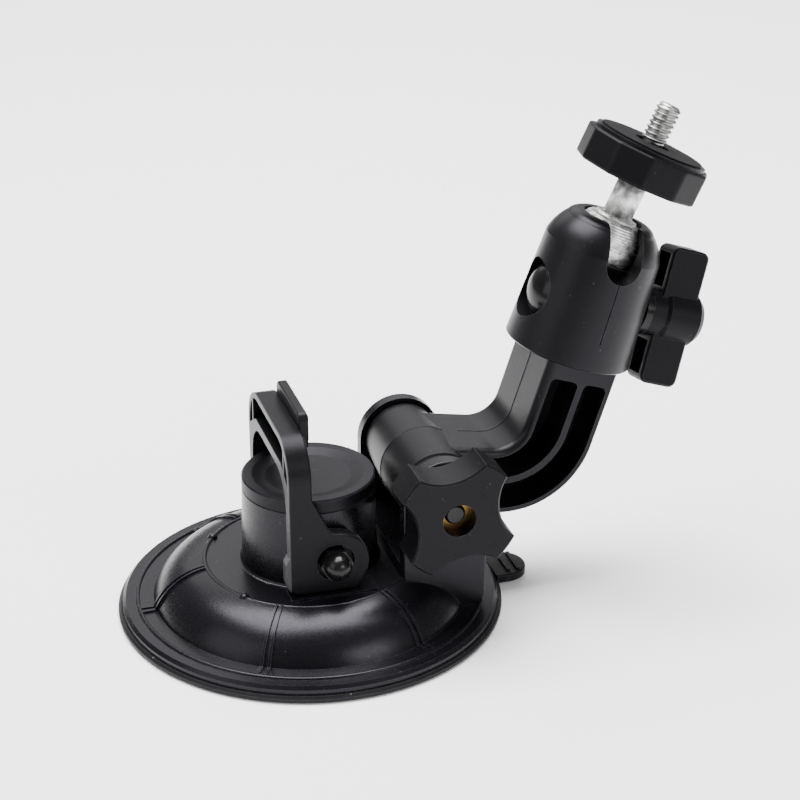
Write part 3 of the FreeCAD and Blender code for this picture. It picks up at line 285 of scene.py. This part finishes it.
MOULDED = {
    "cup_rubber": dict(colour=(0.0036, 0.0036, 0.0038), rough=0.5, specular=0.16, grain=1800.0, dust=0.12),
    "base_plastic": dict(colour=BLACK, rough=0.29, specular=0.2, grain=1400.0, depth=0.00004, strength=0.4),
    "cap_plastic": dict(colour=BLACK, rough=0.44, specular=0.15, grain=3200.0, depth=0.00004, strength=0.35),
    # the lever's back face gets a painted highlight
    "lever_plastic": dict(colour=SOFT_BLACK, rough=0.4, specular=0.12, painted_light_behind=LEVER_BACK),
    "arm_plastic": dict(colour=SOFT_BLACK, rough=0.36, specular=0.17),
    "knob_plastic": dict(colour=SOFT_BLACK, rough=0.42, specular=0.11, grain=2800.0),
    "housing_plastic": dict(colour=(0.0026, 0.0026, 0.003), rough=0.34, specular=0.19),
    "inner_plastic": dict(colour=(0.005, 0.005, 0.0054), rough=0.5, specular=0.15),
    "washer_rubber": dict(colour=(0.003, 0.003, 0.003), rough=0.65, specular=0.12, grain=1800.0),
    "pad_rubber": dict(colour=(0.003, 0.003, 0.0032), rough=0.7, specular=0.12, grain=1600.0, dust=0.1),
}

# ---------------------------------------------------------------- metal

PATCH_RANGE = (0.38, 0.62)
PATCH_LIGHT = 1.05
PATCH_SMOOTHER = 0.05
PATCH_ROUGHER = 0.07
MARK_ROUGHNESS = 0.04
# painted highlight along the sharp edges of metal: how strongly it shows, and how much brighter than the
# colour
EDGE_HIGHLIGHT_METAL = 0.9
EDGE_HIGHLIGHT_BRIGHTER = 1.25


def metal(name, colour, rough, grain=1500.0, depth=0.00003, strength=0.35, metallic=1.0, specular=0.5,
          patch_scale=160.0, patch_dark=0.78):
    """Metal with darker patches, fine machining or casting marks and a painted highlight along the sharp
    edges.

    grain is the scale of the marks, and depth, in metres, and strength are their bump.
    """
    n = Nodes(name)
    patches = n.noise(patch_scale, 4.0)
    marks = n.noise(grain, 3.0, 0.6)
    base = n.mix(n.ramp(patches, *PATCH_RANGE), shade(colour, patch_dark), shade(colour, PATCH_LIGHT))
    # painted highlight along the sharp edges
    n.set("Base Color", n.mix(n.edge_highlight_mask(EDGE_HIGHLIGHT_METAL), base, shade(colour, EDGE_HIGHLIGHT_BRIGHTER)))
    n.set("Roughness", n.math("ADD", n.spread(patches, rough - PATCH_SMOOTHER, rough + PATCH_ROUGHER),
                              n.spread(marks, -MARK_ROUGHNESS, MARK_ROUGHNESS)))
    n.set("Metallic", metallic)
    n.set("Specular IOR Level", specular)
    n.bump(marks, strength, depth)
    return n.material


METALS = {
    "dark_steel": dict(colour=(0.004, 0.004, 0.0045), rough=0.22, metallic=0.05, specular=0.22),
    "spring_steel": dict(colour=(0.55, 0.55, 0.56), rough=0.3),
    "insert_brass": dict(colour=(0.17, 0.1, 0.035), rough=0.34),
    "stud_aluminium": dict(colour=(0.8, 0.8, 0.79), rough=0.46, depth=0.00012, strength=0.7,
                           patch_scale=620.0, patch_dark=0.55),
    "thread_aluminium": dict(colour=(0.46, 0.46, 0.45), rough=0.33, grain=2200.0,
                             patch_scale=900.0, patch_dark=0.55),
}

# ---------------------------------------------------------------- finish of every carried-over node

MATERIALS = {name: moulded(name, **look) for name, look in MOULDED.items()}
MATERIALS.update({name: metal(name, **look) for name, look in METALS.items()})

NODES_IN = {
    "cup_rubber": ("suction_cup",),
    "base_plastic": ("base_cover",),
    "cap_plastic": ("tower_cap",),
    "lever_plastic": ("lever",),
    "arm_plastic": ("arm",),
    "knob_plastic": ("star_knob", "wing_knob", "lock_wheel"),
    "housing_plastic": ("socket_housing",),
    "inner_plastic": ("lift_post", "lever_washers", "ball_seat"),
    "washer_rubber": ("front_friction_washer", "rear_friction_washer"),
    "pad_rubber": ("rubber_pad",),
    "dark_steel": ("lever_pin", "acorn_nuts", "pivot_bolt", "pivot_washer", "clamp_bolt", "wing_washer",
                   "wheel_insert"),
    "spring_steel": ("return_spring",),
    "insert_brass": ("star_knob_insert", "wing_knob_insert"),
}

for finish, node_names in NODES_IN.items():
    for node_name in node_names:
        for material_slot in frame["nodes"][node_name].material_slots:
            material_slot.material = MATERIALS[finish]

# ---------------------------------------------------------------- turned pieces on the stud's axis

COLUMNS = 96


def joint_called(name):
    return [joint for joint in frame["record"]["behaviour"]["joints"] if joint["name"] == name][0]


def turned_piece(name, rows):
    """Closed piece around the stud's axis.

    A row is a height above the ball's centre and a radius, both in mm. The radius may be a function of
    the angle.
    """
    joint = joint_called("stud_spin")
    centre = Vector(joint["pos_m"])
    axis = Vector(joint["axis"]).normalized()
    across = Vector((0.0, 1.0, 0.0))
    along = across.cross(axis)
    work = bmesh.new()
    rings = []
    for height, radius in rows:
        ring = []
        for column in range(COLUMNS):
            angle = 2.0 * math.pi * column / COLUMNS
            reach = (radius(angle) if callable(radius) else radius) * MM
            outwards = along * math.cos(angle) + across * math.sin(angle)
            ring.append(work.verts.new(centre + axis * (height * MM) + outwards * reach))
        rings.append(ring)
    for lower, upper in zip(rings, rings[1:]):
        for column in range(COLUMNS):
            after = (column + 1) % COLUMNS
            work.faces.new((lower[column], lower[after], upper[after], upper[column]))
    work.faces.new(list(reversed(rings[0])))
    work.faces.new(rings[-1])
    bmesh.ops.recalc_face_normals(work, faces=work.faces)
    mesh = bpy.data.meshes.new(name)
    work.to_mesh(mesh)
    work.free()
    for face in mesh.polygons:
        face.use_smooth = True
    piece = bpy.data.objects.new(name, mesh)
    bpy.context.collection.objects.link(piece)
    return piece


def clamp(value):
    return min(1.0, max(0.0, value))


# ---------------------------------------------------------------- camera stud

# the stud's profile, in mm above the ball's centre and in mm of radius
SPINDLE_FOOT = -3.9
SPINDLE_RADIUS = 2.2
SHANK_FOOT = 6.6
SHANK_RADIUS = 3.65
SHANK_TOP = 16.0
NECK_FOOT = 16.4
NECK_RADIUS = 2.5
THREAD_FOOT = 26.0
STUD_TIP = 35.6
TIP_RADIUS = 2.2
SHARP_STEP = 0.02

# the 1/4-20 thread, in mm; its wave slopes from root to crest, and is cut off flat at both
THREAD_PITCH = 1.27
CREST_RADIUS = 3.1
ROOT_RADIUS = 2.52
WAVE_PEAK = 1.25
WAVE_SLOPE = 3.1
RUN_IN = 0.5
RUN_OUT = 0.7
THREAD_STEPS = 130


def thread_radius(height):
    """Radius of the helical thread at a height, as a function of the angle."""
    def radius(angle):
        phase = (height / THREAD_PITCH - angle / (2.0 * math.pi)) % 1.0
        wave = clamp(WAVE_PEAK - abs(phase - 0.5) * WAVE_SLOPE)
        fade = clamp((height - THREAD_FOOT) / RUN_IN) * clamp((STUD_TIP - height) / RUN_OUT)
        cone = TIP_RADIUS + STUD_TIP - height
        return min(ROOT_RADIUS + (CREST_RADIUS - ROOT_RADIUS) * wave * fade, cone)
    return radius


def make_threaded_stud():
    """Spindle in the ball, cast shank, neck inside the lock wheel, and the camera screw."""
    rows = [(SPINDLE_FOOT, SPINDLE_RADIUS), (SHANK_FOOT, SPINDLE_RADIUS),
            (SHANK_FOOT + SHARP_STEP, SHANK_RADIUS), (SHANK_TOP, SHANK_RADIUS),
            (NECK_FOOT, NECK_RADIUS), (THREAD_FOOT, NECK_RADIUS)]
    cast_faces = COLUMNS * rows.index((NECK_FOOT, NECK_RADIUS))
    thread_length = STUD_TIP - SHARP_STEP - THREAD_FOOT
    for step in range(1, THREAD_STEPS + 1):
        height = THREAD_FOOT + thread_length * step / THREAD_STEPS
        rows.append((height, thread_radius(height)))
    rows.append((STUD_TIP, TIP_RADIUS))
    stud = turned_piece("threaded_stud", rows)
    stud.data.materials.append(MATERIALS["stud_aluminium"])
    stud.data.materials.append(MATERIALS["thread_aluminium"])
    for index, face in enumerate(stud.data.polygons):
        face.material_index = 0 if index < cast_faces else 1
    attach(stud, "stud")
    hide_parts("camera_stud")


# ---------------------------------------------------------------- ball

# the ball's outline, in mm from its centre; its foot is a small flat that the seat hides
BALL_RADIUS = 8.7
BALL_FOOT = -0.985 * BALL_RADIUS
BALL_FLAT = 5.8
BALL_CHAMFER_HEIGHT = 0.35
BALL_CHAMFER_WIDTH = 0.45
BALL_STEPS = 220

# the fine turned grooves, in mm
GROOVE_DEPTH = 0.13
GROOVE_PITCH = 0.6
GROOVE_SLOPE = 1.6
GROOVES_FROM = -1.0

# the low step on the ball's flat: height above the flat and radius
STEP_PROFILE = ((0.0, 5.35), (0.1, 5.25), (0.72, 5.1), (0.78, 4.9))


def make_ribbed_ball():
    """Ball with fine turned grooves round its upper part, and a low step under the shank."""
    top = BALL_FLAT - BALL_CHAMFER_HEIGHT
    rows = []
    for step in range(1, BALL_STEPS + 1):
        height = BALL_FOOT + (top - BALL_FOOT) * step / BALL_STEPS
        off_crest = abs((height / GROOVE_PITCH) % 1.0 - 0.5) * 2.0
        cut = GROOVE_DEPTH * clamp(off_crest * GROOVE_SLOPE) if height > GROOVES_FROM else 0.0
        rows.append((height, math.sqrt(BALL_RADIUS ** 2 - height ** 2) - cut))
    edge = rows[-1][1]
    rows.append((BALL_FLAT, edge - BALL_CHAMFER_WIDTH))
    for rise, radius in STEP_PROFILE:
        rows.append((BALL_FLAT + rise, radius))
    ball = turned_piece("ribbed_ball", rows)
    ball.data.materials.append(MATERIALS["stud_aluminium"])
    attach(ball, "ball")
    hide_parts("ball")


make_threaded_stud()
make_ribbed_ball()

# ---------------------------------------------------------------- return spring


def make_squashing_spring():
    """Copy of the spring that closes up towards its lower end, which rides on the rising post.

    It is carried on the lift body and keeps its full length.
    """
    coil = frame["nodes"]["return_spring"]
    spring = bpy.data.objects.new("squashing_spring", coil.data.copy())
    bpy.context.collection.objects.link(spring)
    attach(spring, "lift")
    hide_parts("return_spring")
    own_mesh(spring)


make_squashing_spring()
